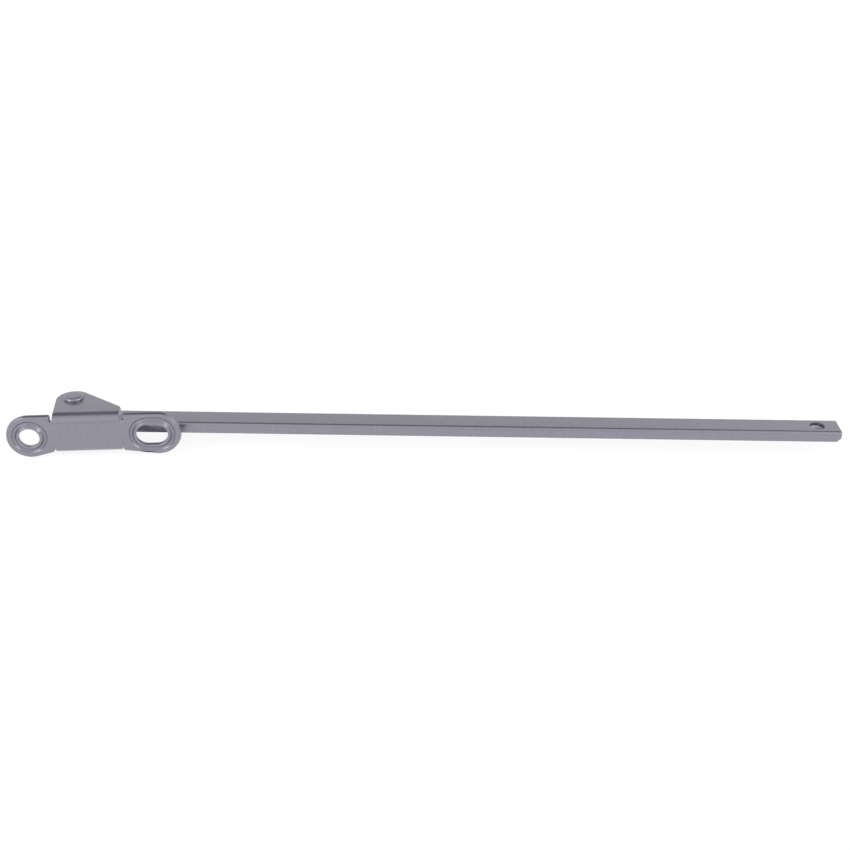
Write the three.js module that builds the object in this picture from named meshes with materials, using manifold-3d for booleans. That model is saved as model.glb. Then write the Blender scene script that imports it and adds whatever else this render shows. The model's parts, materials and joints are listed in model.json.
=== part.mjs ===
// Gate opener arm: a pressed hinge bracket that bolts to the gate leaf or drive, and a long folded channel arm
// that swings behind it on an upright rivet. Millimetres, +Z up. The origin is the centre of the bracket's fixing
// hole, on the front face of its plate. +X runs along the plate towards the slot, +Y runs back from the plate.
import * as THREE from 'three';
import { mergeVertices } from 'three/addons/utils/BufferGeometryUtils.js';
import Module from 'manifold-3d';

// Hinge bracket: a plate with a hole at one end, a slot at the other and two ears folded back between them.
const SHEET = 3.2; // sheet thickness
const END_RADIUS = 16.6; // round ends, and half the plate's height
const HOLE_RADIUS = 7.2; // fixing hole
const SLOT_RADIUS = 8.0; // half the slot's height
const SLOT_STRAIGHT = 6.4; // distance between the centres of the slot's round ends
const SLOT_CENTRE_X = 86.5; // from the fixing hole to the middle of the slot
const EDGE_ROUND = 0.5; // worn press edges of the plate
const FLANK_LEFT_SLOPE = 14.5; // degrees, lower edge between the left end and the lower fold
const FLANK_RIGHT_SLOPE = 8.5; // degrees, lower edge between the lower fold and the right end
const RIGHT_END_OFFSET = 1.0; // the right end's round is centred this far beyond the slot's
const LEFT_RELIEF_WIDTH = 0.7; // cut at the left end of the upper fold
const RIGHT_RELIEF_WIDTH = 2.0; // cut at its right end
const LOWER_RELIEF_WIDTH = 0.5; // cut at each end of the lower fold
const RELIEF_OVERLAP = 3.6; // height of plate left between a relief's end and the start of the fold

// Pressed ring around the hole and the slot. Widths are distances out from the bore's wall.
const RING_WIDTH = 6.8; // to the flat plate outside the ring
const GROOVE_MOUTH = 5.3; // outer edge of the groove
const GROOVE_FLOOR = 4.7; // outer edge of the groove's floor
const GROOVE_FOOT = 3.2; // inner edge of the floor, where the lip's slope starts
const GROOVE_DEPTH = 0.9; // the groove is pressed this far into the plate
const LIP_WIDTH = 1.8; // flat crest and inner round of the lip
const LIP_ROUND = 1.0;
const LIP_HEIGHT = 1.2; // the lip stands this far in front of the plate
const BORE_RECESS = 0.9; // the bore ends this far in front of the plate's back
const BORE_ROUND = 0.5;

// Ears
const FOLD_RADIUS = 7.6; // outer radius of both folds
const EAR_TOP = 16.0; // top face of the upper ear
const EAR_BOTTOM = -15.0; // under face of the lower ear
const EAR_RADIUS = 12.2; // ear's round end, about the pivot
const EAR_SLOPE = 40; // degrees, the ears' slanted side
const EAR_FRONT_CORNER = 5.0; // radius where the slanted side meets the short end
const EAR_LENGTH = 48.2; // along the fold

// Pivot
const PIVOT_X = 28.6;
const PIVOT_Y = 28.5;
const RIVET_RADIUS = 4.5;
const RIVET_HEAD_RADIUS = 7.1;
const RIVET_HEAD_HEIGHT = 2.3;
const RIVET_HEAD_ROUND = 1.2;
const FORMED_HEAD_ROUND = 2.0; // the lower head, which is formed on assembly
const BUSH_WALL = 1.4;
const BUSH_FLANGE = 1.2;
const BUSH_FLANGE_RADIUS = 9.0;
const BUSH_DEPTH = 7.0; // how far a bush reaches into the sleeve
const SLEEVE_WALL = 3.2;

// Arm
const ARM_REACH = 560; // from the pivot to the far end
const ARM_REST_ANGLE = -5; // degrees about the pivot, from the plate's direction
const CHANNEL_WIDTH = 20;
const CHANNEL_HEIGHT = 8;
const CHANNEL_WALL = 2.2;
const CHANNEL_FOLD_RADIUS = 2.6; // outer radius of the folds
const CHANNEL_BOTTOM = -6.0; // height of the flanges' lower edges
const CHANNEL_START = 4.0; // from the pivot, where the coped end begins
const CORNER_CLIP = 3.0; // clipped lower corner of each flange at the far end
const END_HOLE_RADIUS = 5.4;
const END_HOLE_INSET = 16; // from the far end
const NUT_ACROSS_FLATS = 14;
const NUT_HEIGHT = 5.3;
const NUT_THREAD_RADIUS = 3.6;
const NUT_MOUTH_DEPTH = 1.4; // countersink at the top of the thread
const WELD_SIZE = 2.4;

const GAP = 0.3; // clearance between pieces that touch
const FAR = 40; // reach of a cutter, past any edge that it meets
const TURN_STEPS = 48;
const ARC_STEPS = 20;
const FOLD_STEPS = 8;
const ROUND_STEPS = 4;

const { PI } = Math;
const rad = THREE.MathUtils.degToRad;
const wasm = await Module();
wasm.setup();

// Closed three.js geometry to a solid.
function solid(geometry) {
  const bare = geometry.clone();
  bare.deleteAttribute('normal');
  bare.deleteAttribute('uv');
  const merged = mergeVertices(bare, 1e-4);
  return new wasm.Manifold(new wasm.Mesh({
    numProp: 3,
    vertProperties: new Float32Array(merged.attributes.position.array),
    triVerts: new Uint32Array(merged.index.array),
  }));
}

// Solid back to a three.js geometry.
function geometryOf(manifold) {
  const { vertProperties, triVerts } = manifold.getMesh();
  const geometry = new THREE.BufferGeometry();
  geometry.setAttribute('position', new THREE.BufferAttribute(vertProperties, 3));
  geometry.setIndex(new THREE.BufferAttribute(triVerts, 1));
  geometry.computeVertexNormals();
  return geometry;
}

const points = (pairs) => pairs.map(([x, y]) => new THREE.Vector2(x, y));

// Points of an arc about [x, y], between two angles.
function arc(x, y, radius, from, to) {
  return Array.from({ length: ROUND_STEPS + 1 }, (_, i) => {
    const angle = from + (to - from) * i / ROUND_STEPS;
    return [x + radius * Math.cos(angle), y + radius * Math.sin(angle)];
  });
}

// Profile of [radius, height] turned about Y. A stretch pulls the two halves apart along X, so a round piece
// becomes one with straight sides. The profile runs up its outer side.
function turned(profile, stretch = 0) {
  const geometry = new THREE.LatheGeometry(points(profile), TURN_STEPS, PI / TURN_STEPS);
  const place = geometry.attributes.position;
  for (let i = 0; i < place.count; i += 1) {
    const x = place.getX(i);
    if (Math.abs(x) > 1e-6) place.setX(i, x + Math.sign(x) * stretch / 2);
  }
  return geometry;
}

// The same about Z, for upright pieces.
const turnedUpright = (profile) => turned(profile).rotateX(PI / 2);
const uprightCutter = (radius) => solid(turnedUpright([[0, -FAR], [radius, -FAR], [radius, FAR], [0, FAR]]));

// Outline in X and Z, with its thickness along +Y from y = 0.
function plateFrom(shape, depth, bevel = 0) {
  const geometry = new THREE.ExtrudeGeometry(shape, {
    depth: depth - 2 * bevel,
    curveSegments: ARC_STEPS,
    bevelEnabled: bevel > 0,
    bevelThickness: bevel,
    bevelSize: bevel,
    bevelOffset: -bevel,
    bevelSegments: 2,
  });
  return geometry.rotateX(PI / 2).translate(0, depth - bevel, 0);
}

// Outline in Y and Z, drawn out along X.
function alongX(shape, from, to) {
  const settings = { depth: to - from, curveSegments: FOLD_STEPS, bevelEnabled: false };
  const geometry = new THREE.ExtrudeGeometry(shape, settings);
  const turn = new THREE.Matrix4().makeBasis(
    new THREE.Vector3(0, 1, 0), new THREE.Vector3(0, 0, 1), new THREE.Vector3(1, 0, 0));
  return geometry.applyMatrix4(turn).translate(from, 0, 0);
}

function box(low, high) {
  const size = high.map((value, i) => value - low[i]);
  const middle = high.map((value, i) => (value + low[i]) / 2);
  return solid(new THREE.BoxGeometry(...size).translate(...middle));
}

// ---- places worked out from the sizes ----
const FOLD_X0 = PIVOT_X - EAR_RADIUS;
const FOLD_X1 = FOLD_X0 + EAR_LENGTH;
const RIGHT_END_X = SLOT_CENTRE_X + SLOT_STRAIGHT / 2 + RIGHT_END_OFFSET;
const INNER_TOP = EAR_TOP - SHEET;
const INNER_BOTTOM = EAR_BOTTOM + SHEET;
const BUSH_BORE = RIVET_RADIUS + GAP;
const BUSH_RADIUS = BUSH_BORE + BUSH_WALL;
const SLEEVE_BORE = BUSH_RADIUS + GAP;
const SLEEVE_RADIUS = SLEEVE_BORE + SLEEVE_WALL;
const SLEEVE_TOP = INNER_TOP - BUSH_FLANGE - 2 * GAP;
const SLEEVE_BOTTOM = INNER_BOTTOM + BUSH_FLANGE + 2 * GAP;
const CHANNEL_TOP = CHANNEL_BOTTOM + CHANNEL_HEIGHT;
const WEB_UNDER = CHANNEL_TOP - CHANNEL_WALL;
const NUT_TOP = WEB_UNDER - GAP;

// ---- hinge bracket ----
function plateOutline() {
  const left = rad(FLANK_LEFT_SLOPE);
  const right = rad(FLANK_RIGHT_SLOPE);
  const reliefLeft = FOLD_X0 - LEFT_RELIEF_WIDTH;
  const reliefRight = FOLD_X1 + RIGHT_RELIEF_WIDTH;
  const lowerReliefLeft = FOLD_X0 - LOWER_RELIEF_WIDTH;
  const lowerReliefRight = FOLD_X1 + LOWER_RELIEF_WIDTH;
  const foldTop = EAR_TOP - FOLD_RADIUS;
  const foldBottom = EAR_BOTTOM + FOLD_RADIUS;
  const leftEnd = new THREE.Vector2(Math.sin(left), -Math.cos(left)).multiplyScalar(END_RADIUS);
  const rightEnd = new THREE.Vector2(-Math.sin(right), -Math.cos(right)).multiplyScalar(END_RADIUS);
  rightEnd.x += RIGHT_END_X;
  const leftFlankZ = leftEnd.y + (lowerReliefLeft - leftEnd.x) * Math.tan(left);
  const rightFlankZ = rightEnd.y + (rightEnd.x - lowerReliefRight) * Math.tan(right);

  const shape = new THREE.Shape();
  shape.moveTo(0, END_RADIUS);
  shape.absarc(0, 0, END_RADIUS, PI / 2, 1.5 * PI + left, false);
  shape.lineTo(lowerReliefLeft, leftFlankZ);
  shape.lineTo(lowerReliefLeft, foldBottom - RELIEF_OVERLAP);
  shape.lineTo(FOLD_X0, foldBottom - RELIEF_OVERLAP);
  shape.lineTo(FOLD_X0, foldBottom);
  shape.lineTo(FOLD_X1, foldBottom);
  shape.lineTo(FOLD_X1, foldBottom - RELIEF_OVERLAP);
  shape.lineTo(lowerReliefRight, foldBottom - RELIEF_OVERLAP);
  shape.lineTo(lowerReliefRight, rightFlankZ);
  shape.absarc(RIGHT_END_X, 0, END_RADIUS, -PI / 2 - right, PI / 2, false);
  shape.lineTo(reliefRight, END_RADIUS);
  shape.lineTo(reliefRight, foldTop + RELIEF_OVERLAP);
  shape.lineTo(FOLD_X1, foldTop + RELIEF_OVERLAP);
  shape.lineTo(FOLD_X1, foldTop);
  shape.lineTo(FOLD_X0, foldTop);
  shape.lineTo(FOLD_X0, foldTop + RELIEF_OVERLAP);
  shape.lineTo(reliefLeft, foldTop + RELIEF_OVERLAP);
  shape.lineTo(reliefLeft, END_RADIUS);
  return shape;
}

// Section of the folded middle, in Y and Z: web, two folds and two ears, long enough for the trim below.
function foldedSection() {
  const inner = FOLD_RADIUS - SHEET;
  const reach = PIVOT_Y + EAR_RADIUS + GAP;
  const foldTop = EAR_TOP - FOLD_RADIUS;
  const foldBottom = EAR_BOTTOM + FOLD_RADIUS;
  const shape = new THREE.Shape();
  shape.moveTo(reach, EAR_TOP);
  shape.lineTo(FOLD_RADIUS, EAR_TOP);
  shape.absarc(FOLD_RADIUS, foldTop, FOLD_RADIUS, PI / 2, PI, false);
  shape.absarc(FOLD_RADIUS, foldBottom, FOLD_RADIUS, PI, 1.5 * PI, false);
  shape.lineTo(reach, EAR_BOTTOM);
  shape.lineTo(reach, INNER_BOTTOM);
  shape.absarc(FOLD_RADIUS, foldBottom, inner, 1.5 * PI, PI, true);
  shape.absarc(FOLD_RADIUS, foldTop, inner, PI, PI / 2, true);
  shape.lineTo(reach, INNER_TOP);
  return shape;
}

// The ears from above: a round end about the pivot, a slanted side and a rounded short end.
function earPlan() {
  const slope = rad(EAR_SLOPE);
  const along = new THREE.Vector2(Math.cos(slope), -Math.sin(slope));
  const tangent = new THREE.Vector2(Math.sin(slope), Math.cos(slope)).multiplyScalar(EAR_RADIUS);
  tangent.add(new THREE.Vector2(PIVOT_X, PIVOT_Y));
  const cornerY = tangent.y - (FOLD_X1 - tangent.x) * Math.tan(slope);
  const setback = EAR_FRONT_CORNER * Math.tan((PI / 2 - slope) / 2);
  const enter = new THREE.Vector2(FOLD_X1, cornerY).addScaledVector(along, -setback);
  const shape = new THREE.Shape();
  shape.moveTo(FOLD_X0, -GAP);
  shape.lineTo(FOLD_X1, -GAP);
  shape.lineTo(FOLD_X1, cornerY - setback);
  shape.absarc(FOLD_X1 - EAR_FRONT_CORNER, cornerY - setback, EAR_FRONT_CORNER, 0, PI / 2 - slope, false);
  shape.lineTo(enter.x, enter.y);
  shape.lineTo(tangent.x, tangent.y);
  shape.absarc(PIVOT_X, PIVOT_Y, EAR_RADIUS, PI / 2 - slope, PI, false);
  return shape;
}

// Pressed ring about a bore of this radius. Front is y = 0, back is y = SHEET.
function ringProfile(bore) {
  const lip = -LIP_HEIGHT;
  const back = SHEET - BORE_RECESS;
  const behind = SHEET + GROOVE_DEPTH;
  return [
    [RING_WIDTH, 0], [RING_WIDTH, SHEET], [GROOVE_MOUTH + GROOVE_DEPTH, SHEET], [GROOVE_MOUTH, behind],
    [GROOVE_FOOT, behind], [LIP_WIDTH, back], [BORE_ROUND, back], [0, back - BORE_ROUND],
    ...arc(LIP_ROUND, lip + LIP_ROUND, LIP_ROUND, PI, 1.5 * PI),
    [LIP_WIDTH, lip], [GROOVE_FOOT, GROOVE_DEPTH], [GROOVE_FLOOR, GROOVE_DEPTH], [GROOVE_MOUTH, 0], [RING_WIDTH, 0],
  ].map(([offset, y]) => [bore + offset, y]);
}

function pressedRing(part, x, bore, stretch) {
  const outer = bore + (GROOVE_MOUTH + RING_WIDTH) / 2;
  const plug = [[0, -FAR], [outer, -FAR], [outer, SHEET + GROOVE_DEPTH], [0, SHEET + GROOVE_DEPTH]];
  const cut = solid(turned(plug, stretch).translate(x, 0, 0));
  const ring = solid(turned(ringProfile(bore), stretch).translate(x, 0, 0));
  return part.subtract(cut).add(ring);
}

function hingeBracket() {
  const plate = solid(plateFrom(plateOutline(), SHEET, EDGE_ROUND));
  const settings = { depth: 2 * FAR, curveSegments: ARC_STEPS, bevelEnabled: false };
  const trim = new THREE.ExtrudeGeometry(earPlan(), settings);
  const folded = solid(alongX(foldedSection(), FOLD_X0, FOLD_X1)).intersect(solid(trim.translate(0, 0, -FAR)));
  let bracket = plate.add(folded);
  bracket = pressedRing(bracket, 0, HOLE_RADIUS, 0);
  bracket = pressedRing(bracket, SLOT_CENTRE_X, SLOT_RADIUS, SLOT_STRAIGHT);
  return bracket.subtract(uprightCutter(BUSH_BORE).translate([PIVOT_X, PIVOT_Y, 0]));
}

// ---- pivot ----
function rivetProfile() {
  const headTop = EAR_TOP + GAP + RIVET_HEAD_HEIGHT;
  const formedEnd = EAR_BOTTOM - GAP - RIVET_HEAD_HEIGHT;
  const r = RIVET_HEAD_RADIUS;
  return [
    [0, formedEnd],
    ...arc(r - FORMED_HEAD_ROUND, formedEnd + FORMED_HEAD_ROUND, FORMED_HEAD_ROUND, 1.5 * PI, 2 * PI),
    [r, EAR_BOTTOM - GAP], [RIVET_RADIUS, EAR_BOTTOM - GAP], [RIVET_RADIUS, EAR_TOP + GAP], [r, EAR_TOP + GAP],
    ...arc(r - RIVET_HEAD_ROUND, headTop - RIVET_HEAD_ROUND, RIVET_HEAD_ROUND, 0, PI / 2),
    [0, headTop],
  ];
}

// A flanged bush at the top of the sleeve; the lower one is the same turned over.
function bushProfile(flangeTop, side) {
  const flangeUnder = flangeTop - side * BUSH_FLANGE;
  const end = flangeUnder - side * BUSH_DEPTH;
  const ring = [
    [BUSH_RADIUS, end], [BUSH_RADIUS, flangeUnder], [BUSH_FLANGE_RADIUS, flangeUnder],
    [BUSH_FLANGE_RADIUS, flangeTop], [BUSH_BORE, flangeTop], [BUSH_BORE, end], [BUSH_RADIUS, end],
  ];
  return side > 0 ? ring : ring.reverse();
}

function sleeveProfile() {
  return [
    [SLEEVE_RADIUS, SLEEVE_BOTTOM], [SLEEVE_RADIUS, SLEEVE_TOP], [SLEEVE_BORE, SLEEVE_TOP],
    [SLEEVE_BORE, SLEEVE_BOTTOM], [SLEEVE_RADIUS, SLEEVE_BOTTOM],
  ];
}

// ---- arm ----
function channelSection() {
  const half = CHANNEL_WIDTH / 2;
  const outer = CHANNEL_FOLD_RADIUS;
  const inner = outer - CHANNEL_WALL;
  const shape = new THREE.Shape();
  shape.moveTo(-half, CHANNEL_BOTTOM);
  shape.lineTo(-half + CHANNEL_WALL, CHANNEL_BOTTOM);
  shape.lineTo(-half + CHANNEL_WALL, WEB_UNDER - inner);
  shape.absarc(-half + outer, CHANNEL_TOP - outer, inner, PI, PI / 2, true);
  shape.absarc(half - outer, CHANNEL_TOP - outer, inner, PI / 2, 0, true);
  shape.lineTo(half - CHANNEL_WALL, CHANNEL_BOTTOM);
  shape.lineTo(half, CHANNEL_BOTTOM);
  shape.absarc(half - outer, CHANNEL_TOP - outer, outer, 0, PI / 2, false);
  shape.absarc(-half + outer, CHANNEL_TOP - outer, outer, PI / 2, PI, false);
  return shape;
}

function armChannel() {
  let channel = solid(alongX(channelSection(), CHANNEL_START, ARM_REACH));
  channel = channel.subtract(uprightCutter(SLEEVE_RADIUS + GAP));
  channel = channel.subtract(uprightCutter(END_HOLE_RADIUS).translate([ARM_REACH - END_HOLE_INSET, 0, 0]));
  const clip = new THREE.BoxGeometry(CORNER_CLIP * Math.SQRT2, CHANNEL_WIDTH + GAP, CORNER_CLIP * Math.SQRT2);
  return channel.subtract(solid(clip.rotateY(PI / 4).translate(ARM_REACH, 0, CHANNEL_BOTTOM)));
}

// Fillet weld where the channel's web meets the sleeve. Side is +1 on top of the web and -1 under it.
function sleeveWeld(side) {
  const wall = SLEEVE_RADIUS + GAP;
  const base = (side > 0 ? CHANNEL_TOP : WEB_UNDER) + side * GAP;
  const ring = [[wall, base], ...arc(wall, base, WELD_SIZE, 0, side * PI / 2), [wall, base]];
  const half = CHANNEL_WIDTH / 2 - (side > 0 ? CHANNEL_FOLD_RADIUS / 2 : CHANNEL_WALL + GAP);
  return solid(turnedUpright(side > 0 ? ring : ring.reverse()))
    .intersect(box([CHANNEL_START, -half, -FAR], [FAR, half, FAR]));
}

function weldNut() {
  const corner = NUT_ACROSS_FLATS / 2 / Math.cos(PI / 6);
  const bottom = NUT_TOP - NUT_HEIGHT;
  const body = new THREE.CylinderGeometry(corner, corner, NUT_HEIGHT, 6).rotateX(PI / 2);
  const mouth = END_HOLE_RADIUS - GAP;
  const bore = [
    [0, -FAR], [NUT_THREAD_RADIUS, -FAR], [NUT_THREAD_RADIUS, NUT_TOP - NUT_MOUTH_DEPTH],
    [mouth, NUT_TOP], [mouth, FAR], [0, FAR],
  ];
  // One pair of flats faces the flanges.
  return solid(body.rotateZ(PI / 6).translate(0, 0, (NUT_TOP + bottom) / 2)).subtract(solid(turnedUpright(bore)));
}

// ---- assembly ----
const paint = { color: 0x8c8b96, roughness: 0.42, metalness: 0.55 };
const zinc = { color: 0xb9babd, roughness: 0.35, metalness: 0.9 };
const nylon = { color: 0x2a2a2c, roughness: 0.6, metalness: 0.0 };

function piece(name, shape, look) {
  const geometry = shape.isBufferGeometry ? shape : geometryOf(shape);
  const mesh = new THREE.Mesh(geometry, new THREE.MeshStandardMaterial(look));
  mesh.name = name;
  return mesh;
}

const bracket = new THREE.Group();
bracket.add(piece('hinge_bracket', hingeBracket(), paint));
const rivet = piece('pivot_rivet', solid(turnedUpright(rivetProfile())), paint);
rivet.position.set(PIVOT_X, PIVOT_Y, 0);
bracket.add(rivet);

const arm = new THREE.Group();
arm.position.set(PIVOT_X, PIVOT_Y, 0);
arm.rotation.z = rad(ARM_REST_ANGLE);
arm.add(piece('arm_channel', armChannel(), paint));
arm.add(piece('pivot_sleeve', solid(turnedUpright(sleeveProfile())), paint));
arm.add(piece('bush_top', solid(turnedUpright(bushProfile(INNER_TOP - GAP, 1))), nylon));
arm.add(piece('bush_bottom', solid(turnedUpright(bushProfile(INNER_BOTTOM + GAP, -1))), nylon));
arm.add(piece('sleeve_weld_top', sleeveWeld(1), paint));
arm.add(piece('sleeve_weld_bottom', sleeveWeld(-1), paint));
const nut = piece('end_weld_nut', weldNut(), zinc);
nut.position.x = ARM_REACH - END_HOLE_INSET;
arm.add(nut);

const gateOpenerArm = new THREE.Group();
gateOpenerArm.add(bracket, arm);
export default gateOpenerArm;
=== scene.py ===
import json
import logging
import math
from dataclasses import dataclass, field
from enum import Enum
from functools import partial
from typing import Callable, Sequence, Union

import bmesh
import bpy
from bmesh.types import BMEdge, BMesh, BMFace, BMVert
from mathutils import Matrix, Vector


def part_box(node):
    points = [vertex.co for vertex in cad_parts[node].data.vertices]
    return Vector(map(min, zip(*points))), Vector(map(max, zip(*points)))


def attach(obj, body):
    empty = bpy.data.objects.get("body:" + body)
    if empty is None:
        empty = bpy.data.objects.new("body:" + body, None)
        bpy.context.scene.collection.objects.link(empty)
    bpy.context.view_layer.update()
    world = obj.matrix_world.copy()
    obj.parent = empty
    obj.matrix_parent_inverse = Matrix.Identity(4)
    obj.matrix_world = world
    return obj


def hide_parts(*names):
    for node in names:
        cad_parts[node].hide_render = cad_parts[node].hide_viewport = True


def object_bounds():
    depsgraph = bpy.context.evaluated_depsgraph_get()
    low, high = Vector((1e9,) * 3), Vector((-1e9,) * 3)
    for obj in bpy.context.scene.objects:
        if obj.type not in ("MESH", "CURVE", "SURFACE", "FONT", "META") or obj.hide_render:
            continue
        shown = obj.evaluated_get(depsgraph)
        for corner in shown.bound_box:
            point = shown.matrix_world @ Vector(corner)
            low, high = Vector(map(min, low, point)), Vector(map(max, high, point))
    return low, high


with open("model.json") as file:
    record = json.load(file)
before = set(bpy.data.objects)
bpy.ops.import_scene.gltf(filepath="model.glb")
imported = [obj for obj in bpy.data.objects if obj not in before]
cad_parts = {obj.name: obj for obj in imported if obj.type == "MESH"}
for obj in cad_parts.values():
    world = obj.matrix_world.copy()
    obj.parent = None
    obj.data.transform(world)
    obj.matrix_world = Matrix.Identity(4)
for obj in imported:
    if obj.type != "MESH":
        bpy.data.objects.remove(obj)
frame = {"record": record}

# A gate opener arm: a pressed hinge bracket with a long folded channel arm on an upright rivet.
# Shapes are drawn in millimetres, and a finished mesh is scaled to metres.

CAD_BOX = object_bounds()
MM = 0.001
GAP = 0.3
log = logging.getLogger("gate_opener_arm")

Place = Callable[[float, float], Vector]
Number = Union[int, float]


class Body(Enum):
    """The two bodies that the arm swings between."""

    BRACKET = "bracket"
    ARM = "arm"


class Slot(Enum):
    """The record's material slots."""

    PAINT = "silver_grey_paint"
    NYLON = "bush_nylon"
    ZINC = "zinc_plate"


# ---- where things are ----


def low_mm(node: str) -> Vector:
    """A CAD node's lowest corner, in millimetres."""
    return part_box(node)[0] / MM


def high_mm(node: str) -> Vector:
    """A CAD node's highest corner, in millimetres."""
    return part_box(node)[1] / MM


@dataclass(frozen=True)
class Setting:
    """The places that several pieces share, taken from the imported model."""

    pivot: Vector
    arm_turn: float
    nut_reach: float

    @classmethod
    def from_frame(cls) -> "Setting":
        """Reads the pivot and the arm's direction.

        Returns:
            The setting, in millimetres and radians.
        """
        hinge = frame["record"]["behaviour"]["joints"][0]
        pivot = Vector(hinge["pos_m"]) / MM
        end = next(m for m in frame["record"]["mounts"] if m["name"] == "end_nut_face")
        run = Vector(end["pos_m"]) / MM - pivot
        turn = math.atan2(run.y, run.x)
        nut = (low_mm("end_weld_nut") + high_mm("end_weld_nut")) / 2 - pivot
        return cls(Vector((pivot.x, pivot.y, 0)), turn, math.hypot(nut.x, nut.y))

    def arm_to_frame(self) -> Matrix:
        """The move from the arm's own axes, with the pivot at its origin, to the frame's."""
        return Matrix.Translation(self.pivot) @ Matrix.Rotation(self.arm_turn, 4, "Z")


# ---- shaping tools ----


@dataclass(frozen=True)
class Corner:
    """A corner of a path: where its two sides would meet, and the radius that joins them."""

    a: float
    b: float
    radius: float = 0.0


class Shape:
    """A mesh in the making."""

    ARC_STEP = math.radians(4)

    def __init__(self) -> None:
        """Starts with nothing."""
        self.bm: BMesh = bmesh.new()

    def path(self, corners: Sequence[Corner], place: Place, closed: bool,
             step: float = ARC_STEP) -> list[BMEdge]:
        """Draws a path of straight sides with rounded corners.

        Args:
            corners: the corners in order.
            place: turns a corner's two numbers into a point.
            closed: whether the last corner runs on to the first.
            step: the angle of each piece of a rounded corner.

        Returns:
            The path's edges.
        """
        before = set(self.bm.edges)
        spots = [place(c.a, c.b) for c in corners]
        first = last = None
        for i, (corner, here) in enumerate(zip(corners, spots)):
            rounded = corner.radius > 0 and (closed or 0 < i < len(corners) - 1)
            if rounded:
                begin, end = self._arc(spots[i - 1], here, spots[(i + 1) % len(spots)], corner.radius, step)
            else:
                begin = end = self.bm.verts.new(here)
            if last is not None:
                self.bm.edges.new((last, begin))
            first, last = first or begin, end
        if closed:
            self.bm.edges.new((last, first))
        made = [e for e in self.bm.edges if e not in before]
        self.join({v for e in made for v in e.verts})
        return [e for e in self.bm.edges if e not in before]

    def _arc(self, back: Vector, here: Vector, ahead: Vector, radius: float,
             step: float) -> tuple[BMVert, BMVert]:
        """Draws one rounded corner.

        Args:
            back: the corner before.
            here: this corner.
            ahead: the corner after.
            radius: the rounding.
            step: the angle of each piece.

        Returns:
            The arc's first and last vertex.
        """
        enter, leave = (here - back).normalized(), (ahead - here).normalized()
        turn = enter.angle(leave)
        begin = self.bm.verts.new(here - enter * radius * math.tan(turn / 2))
        inward = (leave - enter * enter.dot(leave)).normalized()
        arc = bmesh.ops.spin(
            self.bm, geom=[begin], axis=enter.cross(leave).normalized(), cent=begin.co + inward * radius,
            angle=turn, steps=max(2, round(turn / step)), use_merge=False)
        return begin, next(g for g in arc["geom_last"] if isinstance(g, BMVert))

    def join(self, verts=None, distance: float = 1e-4) -> None:
        """Merges vertices that lie together."""
        bmesh.ops.remove_doubles(self.bm, verts=list(verts or self.bm.verts), dist=distance)

    def spin(self, edges: list[BMEdge], axis: Vector, centre: Vector, angle: float,
             steps: int) -> list[BMEdge]:
        """Turns edges about an axis.

        Args:
            edges: the section.
            axis: the direction that is turned about.
            centre: a point on the axis.
            angle: how far, in radians.
            steps: how many pieces the turn has.

        Returns:
            The section's edges at the end of the turn.
        """
        full = abs(abs(angle) - math.tau) < 1e-6
        turned = bmesh.ops.spin(
            self.bm, geom=edges + list({v for e in edges for v in e.verts}), axis=axis, cent=centre,
            angle=angle, steps=steps, use_merge=full)
        return [g for g in turned["geom_last"] if isinstance(g, BMEdge) and g.is_valid]

    def slide(self, edges: list[BMEdge], by: Vector) -> list[BMEdge]:
        """Draws a section out in a straight line and returns its edges there."""
        drawn = bmesh.ops.extrude_edge_only(self.bm, edges=edges)["geom"]
        bmesh.ops.translate(self.bm, verts=[g for g in drawn if isinstance(g, BMVert)], vec=by)
        moved = {g for g in drawn if isinstance(g, BMVert)}
        return [g for g in drawn if isinstance(g, BMEdge) and set(g.verts) <= moved]

    def turned(self, corners: Sequence[Corner], centre: Vector, closed: bool, steps: int = 96) -> "Shape":
        """Turns a path of (radius, height) corners about an upright axis.

        Args:
            corners: the section's corners.
            centre: a point on the axis.
            closed: whether the section is a loop, as for a ring, or runs from axis to axis.
            steps: how many pieces the turn has.

        Returns:
            The shape itself.
        """
        edges = self.path(corners, lambda a, b: centre + Vector((a, 0, b)), closed, math.radians(15))
        self.spin(edges, Vector((0, 0, 1)), centre, math.tau, steps)
        self.join()
        return self

    def cut(self, point: Vector, normal: Vector, faces: Sequence[BMFace]) -> None:
        """Scores a straight line across some faces."""
        edges = {e for f in faces for e in f.edges}
        verts = {v for f in faces for v in f.verts}
        bmesh.ops.bisect_plane(
            self.bm, geom=list(verts) + list(edges) + list(faces), dist=1e-4, plane_co=point, plane_no=normal)

    def move(self, by: Matrix) -> "Shape":
        """Moves or turns the whole shape and returns it."""
        bmesh.ops.transform(self.bm, matrix=by, verts=self.bm.verts)
        return self

    def outward(self) -> "Shape":
        """Points every face outwards and returns the shape."""
        bmesh.ops.recalc_face_normals(self.bm, faces=self.bm.faces)
        return self

    def carve(self, tool: "Shape", operation: str = "DIFFERENCE") -> "Shape":
        """Cuts another closed shape out of this one, and returns this one."""
        pair = []
        for shape in (self, tool):
            mesh = bpy.data.meshes.new("carving")
            shape.outward().bm.to_mesh(mesh)
            pair.append(bpy.data.objects.new("carving", mesh))
            bpy.context.scene.collection.objects.link(pair[-1])
        cutter = pair[0].modifiers.new("cut", "BOOLEAN")
        cutter.operation, cutter.solver, cutter.object = operation, "EXACT", pair[1]
        carved = pair[0].evaluated_get(bpy.context.evaluated_depsgraph_get())
        self.bm.clear()
        self.bm.from_mesh(carved.to_mesh())
        for spare in pair:
            mesh = spare.data
            bpy.data.objects.remove(spare)
            bpy.data.meshes.remove(mesh)
        return self

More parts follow.
